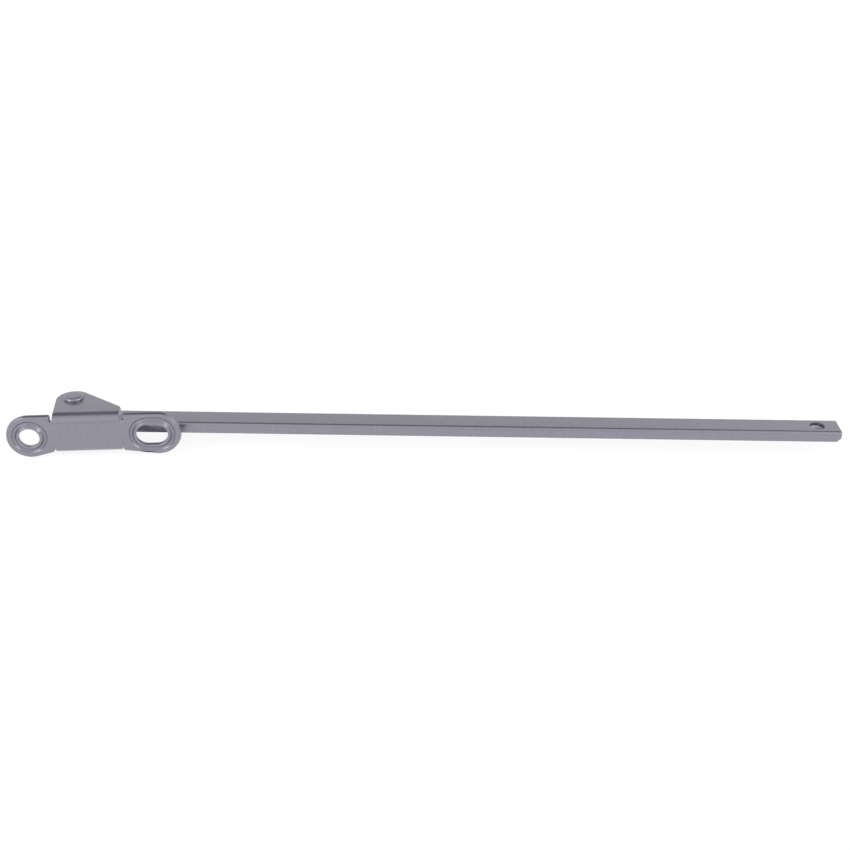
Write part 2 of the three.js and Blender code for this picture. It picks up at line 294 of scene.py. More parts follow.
    def finish(self, name: str, body: Body, nodes: Sequence[str], slot: Slot, finish: "Finish",
               crease: float = 38.0) -> bpy.types.Object:
        """Makes the shape a piece of the object, in metres.

        Args:
            name: the piece's name.
            body: what it moves with.
            nodes: the CAD nodes that it stands for.
            slot: the record's material slot; not used.
            finish: its surface.
            crease: edges sharper than this stay crisp, in degrees.

        Returns:
            The finished piece.
        """
        self.move(Matrix.Scale(MM, 4)).outward()
        mesh = bpy.data.meshes.new(name)
        self.bm.to_mesh(mesh)
        self.bm.free()
        mesh.shade_smooth()
        mesh.set_sharp_from_angle(angle=math.radians(crease))
        mesh.materials.append(finish.material())
        piece = bpy.data.objects.new(name, mesh)
        bpy.context.scene.collection.objects.link(piece)
        even = piece.modifiers.new("even shading", "WEIGHTED_NORMAL")
        even.mode, even.weight, even.keep_sharp = "FACE_AREA", 60, True
        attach(piece, body.value)
        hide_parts(*nodes)
        log.info("%s: %d faces, on the %s", name, len(mesh.polygons), body.value)
        return piece


@dataclass
class SheetBlank:
    """Flat sheet that is cut, pressed and folded.

    Length runs along X, width along Z, and thickness back along +Y.
    """

    thickness: float
    fold_radius: float
    rim_radius: float
    rim_roll: float = 0.0
    roll_depth: float = 2.2
    shape: Shape = field(default_factory=Shape)

    @property
    def fold_middle(self) -> float:
        """Radius of a fold half way through the sheet."""
        return self.fold_radius - self.thickness / 2

    @property
    def fold_length(self) -> float:
        """Width of flat sheet that goes into one fold."""
        return self.fold_middle * math.pi / 2

    def cut_out(self, corners: Sequence[Corner]) -> None:
        """Cuts the blank and rounds its rims. The punch rolls the front rim down a little before it cuts.

        Args:
            corners: the outline, as length and width.
        """
        bm = self.shape.bm
        outline = self.shape.path(corners, lambda a, b: Vector((a, 0, b)), closed=True)
        face = bmesh.ops.contextual_create(bm, geom=outline)["faces"]
        deep = bmesh.ops.extrude_face_region(bm, geom=face)["geom"]
        bmesh.ops.translate(bm, verts=[g for g in deep if isinstance(g, BMVert)], vec=(0, self.thickness, 0))
        if self.rim_roll:
            front = next(f for f in bm.faces if all(abs(v.co.y) < 1e-4 for v in f.verts))
            bmesh.ops.inset_region(
                bm, faces=[front], thickness=self.rim_roll, use_even_offset=True, use_boundary=True)
            rolled = [v for v in bm.verts if abs(v.co.y) < 1e-4 and v not in set(front.verts)]
            bmesh.ops.translate(bm, verts=rolled, vec=(0, self.roll_depth, 0))
            bm.normal_update()
        levels = (0, self.thickness)
        rims = [e for e in bm.edges if any(all(abs(v.co.y - y) < 1e-4 for v in e.verts) for y in levels)]
        bmesh.ops.bevel(
            bm, geom=rims, offset=self.rim_radius, offset_type="OFFSET", segments=5, profile=0.5,
            affect="EDGES", material=-1)

    def within(self, low: float, high: float, inner: float = 0.0, outer: float = 1e6) -> list[BMFace]:
        """Faces between two places along the length and two distances from the middle of the width."""
        eps = 1e-3

        def inside(vert: BMVert) -> bool:
            """Whether one corner of a face is between them."""
            along = low - eps <= vert.co.x <= high + eps
            return along and inner - eps <= abs(vert.co.z) <= outer + eps

        return [f for f in self.shape.bm.faces if all(inside(v) for v in f.verts)]

    def score_across(self, places: Sequence[float]) -> None:
        """Scores lines across the whole width."""
        for along in places:
            self.shape.cut(Vector((along, 0, 0)), Vector((1, 0, 0)), self.shape.bm.faces[:])

    def score_fold(self, start: float, side: int, low: float, high: float, pieces: int) -> None:
        """Scores the lines that a fold needs to turn smoothly.

        Args:
            start: distance from the middle where the fold starts.
            side: +1 or -1, the half of the width.
            low: where the fold begins along the length.
            high: where it ends.
            pieces: how many strips the fold has.
        """
        for k in range(pieces + 1):
            across = side * (start + self.fold_length * k / pieces)
            self.shape.cut(Vector((0, 0, across)), Vector((0, 0, 1)), self.within(low, high))

    def press(self, section: Sequence[Corner], centre: Vector, bore: float, straight: float,
              flats: Sequence[BMFace], steps: int = 96) -> None:
        """Presses a ring round a hole or slot, and joins it to the flats on both sides of the sheet.

        Args:
            section: the ring's section from the front flat in to the bore and out along the back, as distance
                from the bore's wall and depth.
            centre: the middle of the hole or slot.
            bore: the radius of the hole, or half the slot's width.
            straight: distance between the centres of a slot's round ends.
            flats: faces that the ring is in, one or more on each side.
            steps: how many pieces a whole turn has.
        """
        bm = self.shape.bm
        levels = {round(f.verts[0].co.y, 3) for f in flats}
        rims = {e for f in flats for e in f.edges}
        bmesh.ops.delete(bm, geom=list(flats), context="FACES_ONLY")
        right = centre + Vector((straight / 2, 0, 0))
        left = centre - Vector((straight / 2, 0, 0))
        before = set(bm.edges)
        edges = self.shape.path(
            section, lambda a, b: right + Vector((0, b, bore + a)), closed=False, step=math.radians(12))
        across = Vector((straight, 0, 0))
        for middle, run in ((right, -across), (left, across)):
            edges = self.shape.spin(edges, Vector((0, 1, 0)), middle, math.pi, steps // 2)
            if straight:
                edges = self.shape.slide(edges, run)
        ring = {v for e in bm.edges if e not in before for v in e.verts}
        self.shape.join(ring)
        inner = {e for e in bm.edges if e not in before and e.is_boundary}
        for level in levels:
            border = [
                e for e in inner | {r for r in rims if r.is_valid}
                if e.is_boundary and all(abs(v.co.y - level) < 1e-3 for v in e.verts)]
            bmesh.ops.triangle_fill(bm, use_beauty=True, use_dissolve=False, edges=border)

    def flats(self, faces: Sequence[BMFace]) -> list[BMFace]:
        """Of some faces, those on the sheet's front or back."""
        return [
            f for f in faces
            if any(all(abs(v.co.y - level) < 1e-4 for v in f.verts) for level in (0, self.thickness))]

    def fold(self, start: float, side: int, share: Callable[[float, float], float]) -> None:
        """Folds the flap beyond a line back through a right angle.

        Args:
            start: distance from the middle where the fold starts.
            side: +1 or -1, the half of the width.
            share: how fully the sheet is folded, from 0 to 1, at a place along the length and a distance
                beyond the line.
        """
        for vert in self.shape.bm.verts:
            beyond = side * vert.co.z - start
            if beyond <= 0:
                continue
            angle = min(beyond / self.fold_middle, math.pi / 2)
            rest = max(beyond - self.fold_length, 0)
            radius = self.fold_radius - vert.co.y
            bent = Vector((
                vert.co.x, self.fold_radius - radius * math.cos(angle) + rest,
                side * (start + radius * math.sin(angle))))
            vert.co = vert.co.lerp(bent, share(vert.co.x, beyond))


# ---- finishes ----


class Wire:
    """A shader socket that takes arithmetic: each operation adds its Math node."""

    def __init__(self, bench: "Bench", socket: bpy.types.NodeSocket) -> None:
        """Holds a socket of a bench's tree."""
        self.bench, self.socket = bench, socket

    def _maths(self, operation: str, first: "Wire | Number", second: "Wire | Number") -> "Wire":
        """Adds one Math node."""
        return self.bench.node("ShaderNodeMath", {"operation": operation}, {0: first, 1: second})["Value"]

    def __add__(self, other: "Wire | Number") -> "Wire":
        """Sum."""
        return self._maths("ADD", self, other)

    def __radd__(self, other: Number) -> "Wire":
        """Sum, number first."""
        return self._maths("ADD", other, self)

    def __sub__(self, other: "Wire | Number") -> "Wire":
        """Difference."""
        return self._maths("SUBTRACT", self, other)

    def __rsub__(self, other: Number) -> "Wire":
        """Difference, number first."""
        return self._maths("SUBTRACT", other, self)

    def __mul__(self, other: "Wire | Number") -> "Wire":
        """Product."""
        return self._maths("MULTIPLY", self, other)

    def __rmul__(self, other: Number) -> "Wire":
        """Product, number first."""
        return self._maths("MULTIPLY", other, self)

    def __truediv__(self, other: "Wire | Number") -> "Wire":
        """Quotient."""
        return self._maths("DIVIDE", self, other)

    def between(self, low: float, high: float) -> "Wire":
        """Smooth step from 0 at low to 1 at high."""
        return self.bench.node(
            "ShaderNodeMapRange", {"interpolation_type": "SMOOTHSTEP"},
            {"Value": self, "From Min": low, "From Max": high})["Result"]


class Outputs:
    """A node's outputs by name, as wires."""

    def __init__(self, bench: "Bench", node: bpy.types.Node) -> None:
        """Holds a node."""
        self.bench, self.node = bench, node

    def __getitem__(self, name: str) -> Wire:
        """The wire of one output, of those that are in use."""
        return Wire(self.bench, next(s for s in self.node.outputs if s.name == name and s.enabled))


class Bench:
    """Where one material's nodes are made."""

    def __init__(self, name: str) -> None:
        """Starts a material with its shader."""
        self.material = bpy.data.materials.new(name)
        self.material.use_nodes = True
        self.tree = self.material.node_tree
        self.shader = self.tree.nodes["Principled BSDF"]

    def node(self, kind: str, settings: dict, inputs: dict) -> Outputs:
        """Makes one node.

        Args:
            kind: the node's type.
            settings: its own settings, which are set first.
            inputs: values or wires by socket name or number.

        Returns:
            The node's outputs.
        """
        made = self.tree.nodes.new(kind)
        for name, value in settings.items():
            setattr(made, name, value)
        for name, value in inputs.items():
            socket = made.inputs[name] if isinstance(name, int) else next(
                s for s in made.inputs if s.name == name and s.enabled)
            self.feed(socket, value)
        return Outputs(self, made)

    def feed(self, socket: bpy.types.NodeSocket, value: "Wire | Number | tuple") -> None:
        """Links a wire to a socket, or sets a value on it."""
        if isinstance(value, Wire):
            self.tree.links.new(value.socket, socket)
        else:
            socket.default_value = value

    def surface(self, **values: "Wire | Number | tuple") -> None:
        """Feeds the shader's sockets, named with underscores for spaces."""
        for name, value in values.items():
            self.feed(self.shader.inputs[name.replace("_", " ")], value)

    def place(self) -> Wire:
        """Object coordinates."""
        return self.node("ShaderNodeTexCoord", {}, {})["Object"]

    def noise(self, place: Wire, size_mm: float, detail: float = 2.0, rough: float = 0.5) -> Wire:
        """Cloudy noise whose patches are about this size, from 0 to 1."""
        return self.node(
            "ShaderNodeTexNoise", {},
            {"Vector": place, "Scale": 1 / (size_mm * MM), "Detail": detail, "Roughness": rough})["Fac"]

    def flakes(self, place: Wire, size_mm: float) -> tuple[Wire, Wire]:
        """Cells of about this size: a different level for each, and a different direction for each."""
        cells = self.node(
            "ShaderNodeTexVoronoi", {"feature": "F1"}, {"Vector": place, "Scale": 1 / (size_mm * MM)})
        split = self.node("ShaderNodeSeparateColor", {}, {"Color": cells["Color"]})
        return split["Red"], split["Green"]

    def mix(self, factor: "Wire | Number", first: "Wire | tuple", second: "Wire | tuple") -> Wire:
        """Mixes two colours."""
        return self.node(
            "ShaderNodeMix", {"data_type": "RGBA"}, {"Factor": factor, "A": first, "B": second})["Result"]

    def bump(self, height: Wire, depth_mm: float, strength: float, below: "Wire | None" = None) -> Wire:
        """Bump from a height between 0 and 1.

        Args:
            height: the relief.
            depth_mm: how deep it is.
            strength: how much of it shows.
            below: the relief that this one lies on.

        Returns:
            The bent normal.
        """
        inputs = {"Height": height, "Distance": depth_mm * MM, "Strength": strength}
        if below is not None:
            inputs["Normal"] = below
        return self.node("ShaderNodeBump", {}, inputs)["Normal"]


class Finish:
    """A surface finish, made once and shared."""

    made: dict[str, bpy.types.Material] = {}

    def material(self) -> bpy.types.Material:
        """The finish's material."""
        name = type(self).__name__
        if name not in Finish.made:
            bench = Bench(name)
            self.build(bench)
            Finish.made[name] = bench.material
        return Finish.made[name]

    def build(self, bench: Bench) -> None:
        """Makes the nodes."""
        raise NotImplementedError


@dataclass(frozen=True)
class SilverGreyPaint(Finish):
    """Semi-gloss metallic paint: fine flake under a thin clear film, with the dimpled skin of spray paint."""

    base: tuple = (0.255, 0.252, 0.300, 1)
    light: tuple = (0.36, 0.355, 0.41, 1)
    dark: tuple = (0.19, 0.187, 0.225, 1)
    metallic: float = 0.8
    roughness: float = 0.30
    flake_mm: float = 0.55
    skin_mm: float = 1.6

    def build(self, bench: Bench) -> None:
        """Makes the nodes."""
        place = bench.place()
        fine, _ = bench.flakes(place, self.flake_mm)
        coarse, _ = bench.flakes(place, self.flake_mm * 2.3)
        cloud = bench.noise(place, 22, 3, 0.55)
        bright = fine.between(0.80, 1.0) * 0.45 + coarse.between(0.86, 1.0) * 0.12
        dull = fine.between(0.22, 0.0) * 0.35 + (cloud - 0.5) * 0.10
        colour = bench.mix(bright, self.base, self.light)
        colour = bench.mix(dull.between(0.0, 1.0), colour, self.dark)
        skin = bench.bump(bench.noise(place, self.skin_mm, 2, 0.45), 0.05, 0.35)
        grain = bench.bump(fine, 0.012, 0.35, skin)
        bench.surface(
            Base_Color=colour, Metallic=self.metallic,
            Roughness=self.roughness + (cloud - 0.5) * 0.05 - bright * 0.08,
            Normal=grain, Coat_Weight=0.35, Coat_Roughness=0.22)


@dataclass(frozen=True)
class ZincPlate(Finish):
    """Dull bright-zinc plating with a cloudy passivated film."""

    base: tuple = (0.46, 0.46, 0.47, 1)
    dull: tuple = (0.27, 0.27, 0.28, 1)
    roughness: float = 0.34

    def build(self, bench: Bench) -> None:
        """Makes the nodes."""
        place = bench.place()
        cloud = bench.noise(place, 2.6, 5, 0.6)
        speck = bench.noise(place, 0.35, 2, 0.5)
        bench.surface(
            Base_Color=bench.mix(cloud.between(0.35, 0.7), self.base, self.dull), Metallic=1.0,
            Roughness=self.roughness + cloud * 0.2, Normal=bench.bump(speck, 0.02, 0.4))


@dataclass(frozen=True)
class BushNylon(Finish):
    """Black moulded nylon, faintly matt, with a trace of worn-off dust."""

    base: tuple = (0.020, 0.020, 0.022, 1)
    dusty: tuple = (0.055, 0.054, 0.052, 1)
    roughness: float = 0.48

    def build(self, bench: Bench) -> None:
        """Makes the nodes."""
        place = bench.place()
        cloud = bench.noise(place, 3.5, 4, 0.6)
        bench.surface(
            Base_Color=bench.mix(cloud.between(0.45, 0.75), self.base, self.dusty),
            Roughness=self.roughness + cloud * 0.2, Normal=bench.bump(bench.noise(place, 0.3), 0.015, 0.5))


PAINT, ZINC, NYLON = SilverGreyPaint(), ZincPlate(), BushNylon()


# ---- the bracket ----


@dataclass
class HingeBracket:
    """One pressed sheet with a hole, a slot and two ears folded back, and the rivet through the ears."""

    setting: Setting
    sheet: float = 3.2
    end_radius: float = 16.6
    hole_radius: float = 7.2
    slot_radius: float = 8.0
    slot_straight: float = 6.4
    slot_middle: float = 86.5
    right_end_offset: float = 1.0
    rim_radius: float = 0.55
    rim_roll: float = 0.6
    flank_left: float = math.radians(14.5)
    flank_right: float = math.radians(8.5)
    left_relief: float = 0.7
    right_relief: float = 2.0
    lower_relief: float = 0.5
    relief_overlap: float = 3.6
    relief_mouth: float = 1.2
    ring_width: float = 6.8
    groove_mouth: float = 5.45
    groove_floor: float = 4.6
    groove_foot: float = 3.15
    groove_depth: float = 0.9
    lip_width: float = 1.5
    lip_height: float = 1.2
    bore_recess: float = 0.9
    back_foot: float = 1.9
    back_floor: float = 4.0
    back_ridge: float = 5.2
    back_mouth: float = 6.3
    mouth_bend: float = 0.9
    ring_bend: float = 0.7
    tight_bend: float = 0.5
    back_bend: float = 0.6
    edge_bend: float = 0.4
    fold_radius: float = 7.6
    ear_top: float = 16.0
    ear_bottom: float = -15.0
    ear_radius: float = 12.2
    ear_slope: float = math.radians(40)
    ear_front_corner: float = 5.0
    ear_flare: float = 1.5
    ear_flare_start: float = 9.7
    ear_length: float = 48.2
    rivet_hole: float = 4.8
    rivet_radius: float = 4.5
    head_radius: float = 7.1
    head_height: float = 2.3
    head_round: float = 2.0

    @property
    def fold_left(self) -> float:
        """Where the folds begin along the plate."""
        return self.setting.pivot.x - self.ear_radius

    @property
    def fold_right(self) -> float:
        """Where the folds end along the plate."""
        return self.fold_left + self.ear_length

    def ear_corners(self, blank: SheetBlank, start: float, side: int) -> list[Corner]:
        """One ear's outline on the flat blank, from its long end round to its short end.

        Args:
            blank: the sheet that it is cut from.
            start: distance from the middle where its fold starts.
            side: +1 for the upper ear, -1 for the lower.

        Returns:
            The corners, in order from the left.
        """
        pivot, r, slope = self.setting.pivot, self.ear_radius, self.ear_slope

        def flat(y: float) -> float:
            """Width on the flat blank that ends up at this depth."""
            return side * (start + blank.fold_length + y - self.fold_radius)

        top = pivot.y + r
        shoulder = pivot.x + r * math.tan(slope / 2)
        drop = (self.fold_right - shoulder) * math.tan(slope)
        return [
            Corner(self.fold_left, side * (start + self.ear_flare_start)),
            Corner(self.fold_left - self.ear_flare, flat(top), r + self.ear_flare / 2),
            Corner(shoulder, flat(top), r),
            Corner(self.fold_right, flat(top - drop), self.ear_front_corner)]

    def outline(self, blank: SheetBlank) -> list[Corner]:
        """The whole blank's outline.

        Args:
            blank: the sheet that it is cut from.

        Returns:
            The corners, clockwise from the top of the left end.
        """
        r, mouth = self.end_radius, self.relief_mouth
        nick = 0.2
        upper, lower = self.ear_top - self.fold_radius, -(self.ear_bottom + self.fold_radius)
        low, high = self.fold_left - self.left_relief, self.fold_right + self.right_relief
        low_in, high_in = self.fold_left - self.lower_relief, self.fold_right + self.lower_relief
        right = self.slot_middle + self.slot_straight / 2 + self.right_end_offset
        flank_left = -r / math.cos(self.flank_left)
        flank_right = -r / math.cos(self.flank_right)

        def left_flank(x: float) -> float:
            """The lower edge left of the fold."""
            return flank_left + x * math.tan(self.flank_left)

        def right_flank(x: float) -> float:
            """The lower edge right of the fold."""
            return flank_right + (right - x) * math.tan(self.flank_right)

        top_notch, low_notch = upper + self.relief_overlap, -(lower + self.relief_overlap)
        return [
            Corner(-r, r, r), Corner(low, r, mouth), Corner(low, top_notch, nick),
            Corner(self.fold_left, top_notch, nick),
            *self.ear_corners(blank, upper, 1),
            Corner(self.fold_right, top_notch, nick), Corner(high, top_notch, nick), Corner(high, r, mouth),
            Corner(right + r, r, r), Corner(right + r, right_flank(right + r), r),
            Corner(high_in, right_flank(high_in), mouth), Corner(high_in, low_notch, nick),
            Corner(self.fold_right, low_notch, nick),
            *reversed(self.ear_corners(blank, lower, -1)),
            Corner(self.fold_left, low_notch, nick), Corner(low_in, low_notch, nick),
            Corner(low_in, left_flank(low_in), mouth), Corner(-r, left_flank(-r), r)]

    def ring_section(self) -> list[Corner]:
        """Section of the groove and lip, from the front flat in to the bore and out along the back."""
        w, t, lip, groove = self.ring_width, self.sheet, -self.lip_height, self.groove_depth
        recess, bend = t - self.bore_recess, self.ring_bend
        return [
            Corner(w, 0), Corner(self.groove_mouth, 0, self.mouth_bend),
            Corner(self.groove_floor, groove, bend), Corner(self.groove_foot, groove, self.tight_bend),
            Corner(self.lip_width, lip, bend), Corner(0, lip, bend),
            Corner(0, recess, self.tight_bend), Corner(self.back_foot, recess, self.tight_bend),
            Corner(self.back_floor, t + groove, self.back_bend),
            Corner(self.back_ridge, t + groove, self.tight_bend),
            Corner(self.back_mouth, t, self.edge_bend), Corner(w, t)]

    def build(self) -> None:
        """Cuts, presses and folds the bracket."""
        blank = SheetBlank(self.sheet, self.fold_radius, self.rim_radius, self.rim_roll)
        blank.cut_out(self.outline(blank))
        upper, lower = self.ear_top - self.fold_radius, -(self.ear_bottom + self.fold_radius)
        folds = (
            (1, upper, self.left_relief, self.right_relief),
            (-1, lower, self.lower_relief, self.lower_relief))
        ring_end = self.hole_radius + self.ring_width
        ring_start = self.slot_middle - self.slot_straight / 2 - self.slot_radius - self.ring_width
        cut_left = (self.fold_left - self.left_relief + ring_end) / 2
        cut_right = (self.fold_right + self.right_relief + ring_start) / 2
        blank.score_across((cut_left, cut_right))
        for side, start, left, right in folds:
            blank.score_fold(start, side, cut_left, cut_right, 12)
            for k in range(6):
                for place in (self.fold_left - left * (1 - k / 5), self.fold_right + right * (1 - k / 5)):
                    near = blank.within(cut_left, cut_right, start, start + self.relief_overlap + 2)
                    near = [f for f in near if side * f.calc_center_median().z > 0]
                    blank.shape.cut(Vector((place, 0, 0)), Vector((1, 0, 0)), near)
        hole_flats = blank.flats(blank.within(-self.end_radius, cut_left))
        blank.press(self.ring_section(), Vector(), self.hole_radius, 0, hole_flats)
        slot_flats = blank.flats(blank.within(cut_right, 1e3))
        slot = Vector((self.slot_middle, 0, 0))
        blank.press(self.ring_section(), slot, self.slot_radius, self.slot_straight, slot_flats)
        for side, start, *_ in folds:
            reach = start + blank.fold_length
            flats = blank.flats(blank.within(self.fold_left, self.fold_right, reach))
            flats = [f for f in flats if side * f.calc_center_median().z > 0]
            depth = self.setting.pivot.y - self.fold_radius
            centre = Vector((self.setting.pivot.x, 0, side * (reach + depth)))
            section = [Corner(1.0, 0), Corner(0, 0, 0.3), Corner(0, self.sheet, 0.3), Corner(1.0, self.sheet)]
            blank.press(section, centre, self.rivet_hole, 0, flats)
        for side, start, left, right in folds:
            blank.fold(start, side, partial(self.share, left, right))
        blank.shape.join()
        blank.shape.finish("hinge_bracket_pressing", Body.BRACKET, ["hinge_bracket"], Slot.PAINT, PAINT)

    def share(self, left: float, right: float, x: float, beyond: float) -> float:
        """How fully a fold is made: whole over the ear, easing to none across each relief.

        Args:
            left: the left relief's width.
            right: the right relief's width.
            x: place along the plate.
            beyond: distance past the fold's first line.

        Returns:
            From 0 to 1.
        """
        if beyond > self.ear_flare_start:
            return 1.0
        outside = max((self.fold_left - x) / left, (x - self.fold_right) / right, 0.0)
        eased = max(0.0, 1 - outside)
        return eased * eased * (3 - 2 * eased)

    def build_rivet(self) -> None:
        """Turns the rivet: a raised round head above, a shank, and the head that was formed below."""
        r, shank = self.head_radius, self.rivet_radius
        under, top = self.ear_top, self.ear_top + GAP + self.head_height
        formed_under, formed_end = self.ear_bottom, self.ear_bottom - GAP - self.head_height
        corners = [
            Corner(0, formed_end), Corner(r - 1.4, formed_end, 1.2), Corner(r, formed_end + 1.6, 1.2),
            Corner(r, formed_under, 0.15), Corner(shank, formed_under), Corner(shank, under),
            Corner(r, under, 0.15), Corner(r, top, self.head_round), Corner(0, top)]
        rivet = Shape().turned(corners, self.setting.pivot, closed=False)
        rivet.finish("pivot_rivet_forged", Body.BRACKET, ["pivot_rivet"], Slot.PAINT, PAINT)


# ---- the arm ----


@dataclass
class PivotTube:
    """The sleeve between the ears, its two bushes and the welds that hold the channel to it."""

    setting: Setting
    bore: float = 6.5
    radius: float = 9.7
    bush_bore: float = 4.8
    bush_radius: float = 6.2
    weld_size: float = 2.4
    weld_ripple: float = 0.85
    crown: float = 0.62
    crown_round: float = 1.4
    flange_thickness: float = 1.2

    def build(self) -> None:
        """Makes the sleeve, bushes and welds."""
        self.build_sleeve()
        self.build_bush("bush_top", 1)
        self.build_bush("bush_bottom", -1)
        self.build_weld("sleeve_weld_top", 1, math.radians(49))
        self.build_weld("sleeve_weld_bottom", -1, math.radians(35))

    def build_sleeve(self) -> None:
        """Turns the sleeve, with its ends chamfered."""
        low, high = low_mm("pivot_sleeve").z, high_mm("pivot_sleeve").z
        corners = [
            Corner(self.radius, low, 0.5), Corner(self.radius, high, 0.5), Corner(self.bore, high, 0.4),
            Corner(self.bore, low, 0.4)]
        sleeve = Shape().turned(corners, self.setting.pivot, closed=True)
        sleeve.finish("pivot_sleeve_tube", Body.ARM, ["pivot_sleeve"], Slot.PAINT, PAINT)

    def build_bush(self, node: str, side: int) -> None:
        """Turns a flanged bush.

        Args:
            node: its CAD node.
            side: +1 for the upper one, -1 for the lower one.
        """
        low, high = low_mm(node), high_mm(node)
        flange = (high.x - low.x) / 2
        face, end = (high.z, low.z) if side > 0 else (low.z, high.z)
        under = face - side * self.flange_thickness
        corners = [
            Corner(self.bush_radius, end, 0.4), Corner(self.bush_radius, under, 0.25),
            Corner(flange, under, 0.3), Corner(flange, face, 0.3),
            Corner(self.bush_bore, face, 0.5), Corner(self.bush_bore, end, 0.3)]
        Shape().turned(corners, self.setting.pivot, closed=True).finish(
            f"{node}_moulding", Body.ARM, [node], Slot.NYLON, NYLON)

    def build_weld(self, node: str, side: int, half: float) -> None:
        """Lays a fillet weld round the sleeve, with the ripples that the torch leaves.

        Args:
            node: its CAD node.
            side: +1 on top of the channel's web, -1 under it.
            half: how far round it goes on each side of the arm's middle.
        """
        box = (low_mm(node).z, high_mm(node).z)
        root = (box[0] if side > 0 else box[1]) - side * (GAP + 0.25)
        tip, wall, size = root + side * (self.weld_size + 0.2), self.radius - 0.2, self.weld_size + 0.3
        shape = Shape()
        section = [
            Corner(wall, root), Corner(wall + size, root),
            Corner(wall + self.crown * size, root + side * self.crown * size, self.crown_round),
            Corner(wall, tip)]
        edges = shape.path(section, lambda a, b: Vector((a, 0, b)), closed=True, step=math.radians(12))
        up = Vector((0, 0, 1))
        bmesh.ops.rotate(
            shape.bm, verts=list({v for e in edges for v in e.verts}), cent=(0, 0, 0),
            matrix=Matrix.Rotation(-half, 3, "Z"))
        ends = [edges, shape.spin(edges, up, Vector(), 2 * half, 110)]
        for end in ends:
            bmesh.ops.contextual_create(shape.bm, geom=end)
        for vert in shape.bm.verts:
            turn = math.atan2(vert.co.y, vert.co.x)
            reach = math.hypot(vert.co.x, vert.co.y) - wall
            height = (vert.co.z - root) * side
            fade = min(1.0, (half - abs(turn)) / 0.14)
            plump = 0.45 + 0.55 * math.sin(max(fade, 0) * math.pi / 2)
            along = turn * (wall + 1.5) - 0.35 * reach * reach
            ripple = 1 + 0.07 * abs(math.sin(math.pi * along / self.weld_ripple)) - 0.035
            out = wall + reach * plump * ripple
            level = root + side * height * plump * ripple
            vert.co = Vector((out * math.cos(turn), out * math.sin(turn), level))
        shape.move(self.setting.arm_to_frame())
        shape.finish(f"{node}_bead", Body.ARM, [node], Slot.PAINT, PAINT, crease=50)


@dataclass
class ArmChannel:
    """The long folded channel, open downwards, with clipped flange corners and a hole near its end."""

    setting: Setting
    width: float = 20.0
    height: float = 8.0
    wall: float = 2.2
    fold_radius: float = 2.6
    rim_radius: float = 0.3
    cope_radius: float = 10.0
    flange_start: float = 6.3
    corner_clip: float = 3.0
    hole_radius: float = 5.4
    hole_inset: float = 16.0

    @property
    def reach(self) -> float:
        """From the pivot to the far end."""
        return self.setting.nut_reach + self.hole_inset

    def build(self) -> None:
        """Cuts, pierces and folds the channel."""
        blank = SheetBlank(self.wall, self.fold_radius, self.rim_radius)
        start = self.width / 2 - self.fold_radius
        edge = start + blank.fold_length + self.height - self.fold_radius
        cope = math.sqrt(self.cope_radius ** 2 - self.flange_start ** 2)
        clip, end, near = self.corner_clip, self.reach, self.flange_start
        blank.cut_out([
            Corner(near, edge, 0.8), Corner(end - clip, edge, 0.4), Corner(end, edge - clip, 0.4),
            Corner(end, clip - edge, 0.4), Corner(end - clip, -edge, 0.4), Corner(near, -edge, 0.8),
            Corner(near, -cope), Corner(self.cope_radius ** 2 / near, 0, self.cope_radius),
            Corner(near, cope)])
        for side in (1, -1):
            blank.score_fold(start, side, -1e3, 1e3, 8)
        hole = self.setting.nut_reach
        window = hole - self.hole_inset * 0.8
        blank.score_across((window,))
        web = blank.flats(blank.within(window, end, 0, start))
        section = [Corner(0.8, 0), Corner(0, 0, 0.35), Corner(0, self.wall, 0.35), Corner(0.8, self.wall)]
        blank.press(section, Vector((hole, 0, 0)), self.hole_radius, 0, web)
        blank.fold(start, 1, lambda x, beyond: 1.0)
        blank.fold(start, -1, lambda x, beyond: 1.0)
        top = high_mm("arm_channel").z
        blank.shape.move(Matrix.Translation((0, 0, top)) @ Matrix.Rotation(-math.pi / 2, 4, "X"))
        blank.shape.move(self.setting.arm_to_frame())
        blank.shape.join()
        blank.shape.finish("arm_channel_folded", Body.ARM, ["arm_channel"], Slot.PAINT, PAINT)


